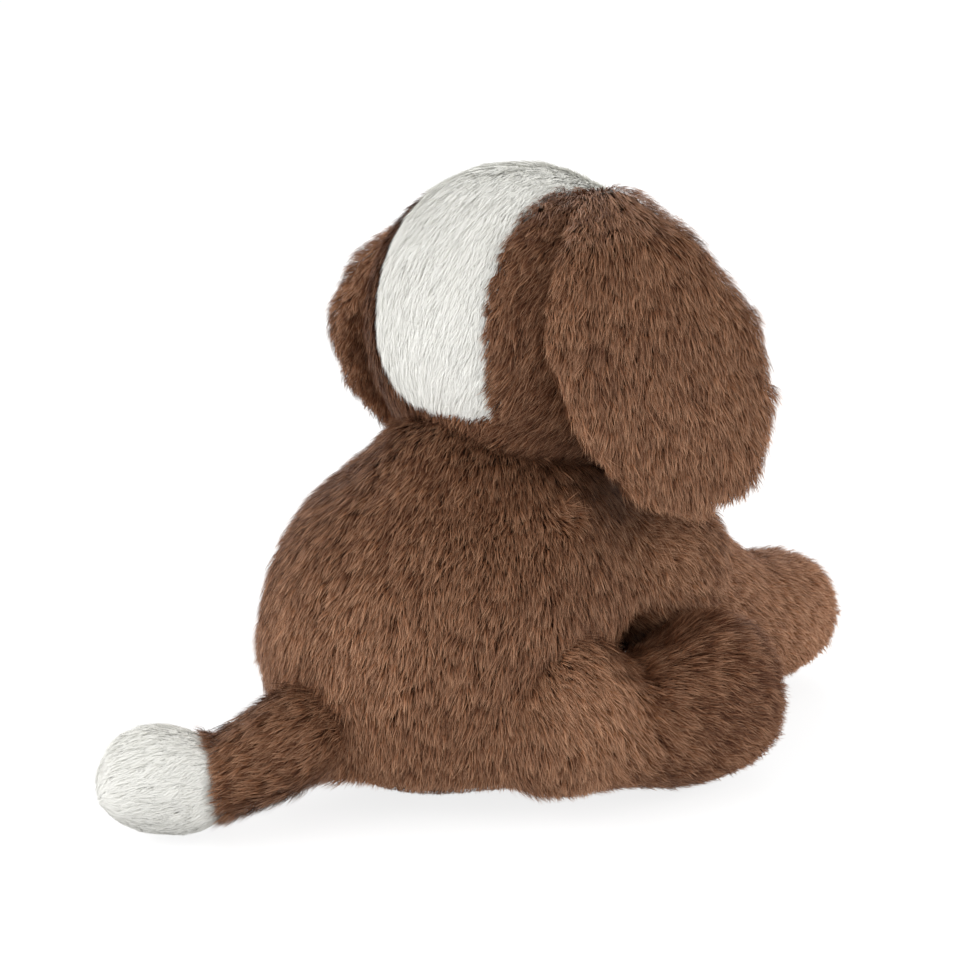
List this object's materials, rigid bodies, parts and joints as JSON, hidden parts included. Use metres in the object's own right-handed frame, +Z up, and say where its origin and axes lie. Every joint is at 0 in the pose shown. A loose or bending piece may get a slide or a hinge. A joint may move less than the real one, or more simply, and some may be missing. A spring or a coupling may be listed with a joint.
{
  "type": "plush dog",
  "caption": "Sitting stuffed puppy of long-pile cloth with a turning head, floppy hinged ears, soft legs, a pale-tipped tail and a pellet-weighted flat seat.",
  "frame": {"origin": "middle of the flat seat, on the surface that the dog sits on", "axes": "+Z up, -Y the way the dog faces, +X the dog's left side; +Y is the longest extent, from forepaws to tail"},
  "size_m": [0.1986, 0.2907, 0.202],
  "materials": {
    "brown_plush": "long silky pile, mid brown with tan tips",
    "dark_plush": "shorter dark brown pile",
    "white_plush": "long silky pile, off-white",
    "fibre_fill": "loose polyester fibre",
    "pouch_cloth": "plain woven cloth",
    "black_plastic": "polished black",
    "washer_plastic": "plain moulded",
    "thread": "twisted thread"
  },
  "bodies": {
    "trunk": {"back_panel_left": "brown_plush", "back_panel_right": "brown_plush", "seat_panel": "dark_plush", "trunk_stuffing": "fibre_fill", "pellet_pouch": "pouch_cloth"},
    "neck": {"neck_ring": "dark_plush"},
    "head": {"head_stuffing": "fibre_fill", "head_blaze": "white_plush", "head_chin": "brown_plush", "head_side_left": "brown_plush", "head_side_right": "brown_plush", "muzzle_cover": "white_plush", "muzzle_stuffing": "fibre_fill", "left_eye": "black_plastic", "left_eye_washer": "washer_plastic", "right_eye": "black_plastic", "right_eye_washer": "washer_plastic", "nose": "black_plastic", "nose_washer": "washer_plastic", "mouth_thread": "thread"},
    "left_ear": {"left_ear_outer": "brown_plush", "left_ear_lining": "dark_plush"},
    "right_ear": {"right_ear_outer": "brown_plush", "right_ear_lining": "dark_plush"},
    "left_foreleg": {"left_foreleg_cover": "brown_plush", "left_foreleg_stuffing": "fibre_fill"},
    "right_foreleg": {"right_foreleg_cover": "brown_plush", "right_foreleg_stuffing": "fibre_fill"},
    "left_hindleg": {"left_hindleg_cover": "brown_plush", "left_hindleg_stuffing": "fibre_fill"},
    "right_hindleg": {"right_hindleg_cover": "brown_plush", "right_hindleg_stuffing": "fibre_fill"},
    "tail_root": {"tail_ring": "dark_plush"},
    "tail": {"tail_sleeve": "brown_plush", "tail_tip": "white_plush", "tail_stuffing": "fibre_fill"}
  },
  "joints": [
    {"name": "head_turn", "type": "hinge", "parent": "trunk", "child": "neck", "pos_m": [0, -0.039, 0.152], "axis": [0, -0.3832, 0.9237], "range_deg": [-18, 18], "stiffness_Nm_per_rad": 0.4},
    {"name": "head_nod", "type": "hinge", "parent": "neck", "child": "head", "pos_m": [0, -0.039, 0.152], "axis": [1, 0, 0], "range_deg": [-10, 10], "stiffness_Nm_per_rad": 0.6},
    {"name": "left_ear_lift", "type": "hinge", "parent": "head", "child": "left_ear", "pos_m": [0.05137, -0.039, 0.17275], "axis": [-0.1392, -0.9903, 0], "range_deg": [0, 100]},
    {"name": "right_ear_lift", "type": "hinge", "parent": "head", "child": "right_ear", "pos_m": [-0.03411, -0.039, 0.19566], "axis": [0.3746, 0.9272, 0], "range_deg": [0, 100]},
    {"name": "left_foreleg_lift", "type": "hinge", "parent": "trunk", "child": "left_foreleg", "pos_m": [0.038, -0.056, 0.068], "axis": [-1, 0, 0], "range_deg": [0, 20], "stiffness_Nm_per_rad": 0.15},
    {"name": "right_foreleg_lift", "type": "hinge", "parent": "trunk", "child": "right_foreleg", "pos_m": [-0.038, -0.056, 0.068], "axis": [-1, 0, 0], "range_deg": [0, 20], "stiffness_Nm_per_rad": 0.15},
    {"name": "left_hindleg_splay", "type": "hinge", "parent": "trunk", "child": "left_hindleg", "pos_m": [0.054, 0.006, 0.0285], "axis": [0, 0, 1], "range_deg": [0, 30], "stiffness_Nm_per_rad": 0.1},
    {"name": "right_hindleg_splay", "type": "hinge", "parent": "trunk", "child": "right_hindleg", "pos_m": [-0.054, 0.006, 0.0285], "axis": [0, 0, -1], "range_deg": [0, 30], "stiffness_Nm_per_rad": 0.1},
    {"name": "tail_wag", "type": "hinge", "parent": "trunk", "child": "tail_root", "pos_m": [0, 0.073, 0.029], "axis": [0, 0, 1], "range_deg": [-10, 45], "stiffness_Nm_per_rad": 0.05},
    {"name": "tail_lift", "type": "hinge", "parent": "tail_root", "child": "tail", "pos_m": [0, 0.073, 0.029], "axis": [0.9806, -0.1961, 0], "range_deg": [0, 45], "stiffness_Nm_per_rad": 0.05}
  ]
}
